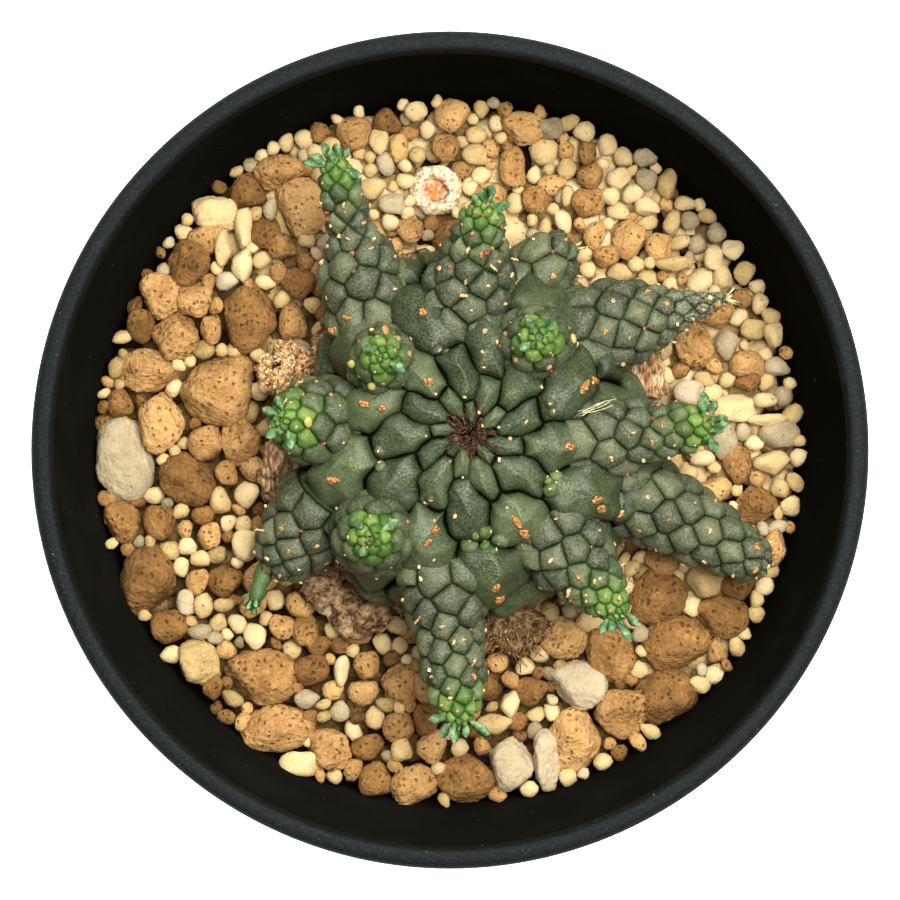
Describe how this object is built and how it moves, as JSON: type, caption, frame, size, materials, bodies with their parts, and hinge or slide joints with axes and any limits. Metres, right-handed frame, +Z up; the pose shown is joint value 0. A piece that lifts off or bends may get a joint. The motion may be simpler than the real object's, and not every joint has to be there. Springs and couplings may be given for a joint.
{
  "type": "potted euphorbia gatbergensis",
  "caption": "Dwarf medusoid succulent with a dome of spiral tubercles and short leafy branches, in a round tapered black pot of gravel.",
  "frame": {"origin": "middle of the pot's foot, on the surface the pot stands on", "axes": "+Z up; seen from above, +X to the right of the picture and +Y to its top"},
  "size_m": [0.105, 0.105, 0.0983],
  "materials": {
    "pot": "matte",
    "potting_mix": "matte",
    "bark": "matte",
    "head_skin": "satin",
    "branch_skin": "satin",
    "young_skin": "satin"
  },
  "bodies": {
    "root": {"pot": "pot", "potting_mix": "potting_mix", "caudex": "bark", "head": "head_skin", "branch_back_left": "branch_skin", "branch_back": "branch_skin", "branch_back_stub": "branch_skin", "branch_right_back": "branch_skin", "branch_right": "branch_skin", "branch_front_right": "branch_skin", "branch_front_right_short": "branch_skin", "branch_front": "branch_skin", "branch_front_left": "branch_skin", "branch_left": "branch_skin", "branch_upright_front_left": "branch_skin", "branch_upright_back_left": "branch_skin", "branch_upright_back_right": "branch_skin", "leafy_tip_back_left": "young_skin", "leafy_tip_back": "young_skin", "leafy_tip_right": "young_skin", "leafy_tip_front_right_short": "young_skin", "leafy_tip_front": "young_skin", "leafy_tip_left": "young_skin", "leafy_tip_upright_front_left": "young_skin", "leafy_tip_upright_back_left": "young_skin", "leafy_tip_upright_back_right": "young_skin", "side_shoot_front_left": "young_skin"}
  },
  "joints": []
}
